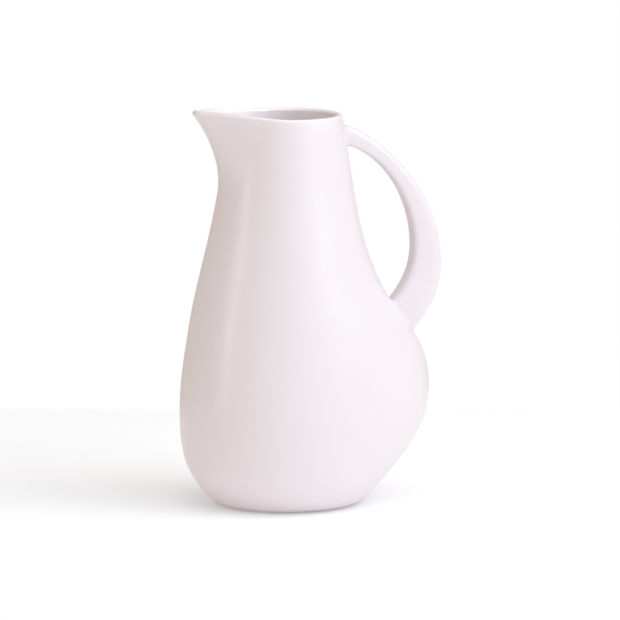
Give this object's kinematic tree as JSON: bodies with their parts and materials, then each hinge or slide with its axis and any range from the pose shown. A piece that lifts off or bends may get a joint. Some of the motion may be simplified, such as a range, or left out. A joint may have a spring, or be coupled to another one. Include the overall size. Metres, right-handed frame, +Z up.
{
  "type": "ceramic pitcher",
  "caption": "Glazed ceramic pitcher with a pulled spout, a belly that swells towards a crescent loop handle, and a bare foot ring.",
  "frame": {"origin": "middle of the bounding box in X and Y, at the underside of the foot ring", "axes": "+Z up, +X towards the handle with the spout towards -X, +Y across the pitcher; the plane Y = 0 is the plane of symmetry"},
  "size_m": [0.1726, 0.1378, 0.2582],
  "materials": {
    "glazed_body": "semi-matte warm white glaze",
    "glazed_handle": "semi-matte warm white glaze",
    "glazed_slip": "semi-matte warm white glaze over slip",
    "bare_clay": "bare fired clay, lightly ground"
  },
  "bodies": {
    "root": {"vessel_body": "glazed_body", "foot_ring": "bare_clay", "handle": "glazed_handle", "upper_luting_joint": "glazed_slip", "lower_luting_joint": "glazed_slip"}
  },
  "joints": []
}
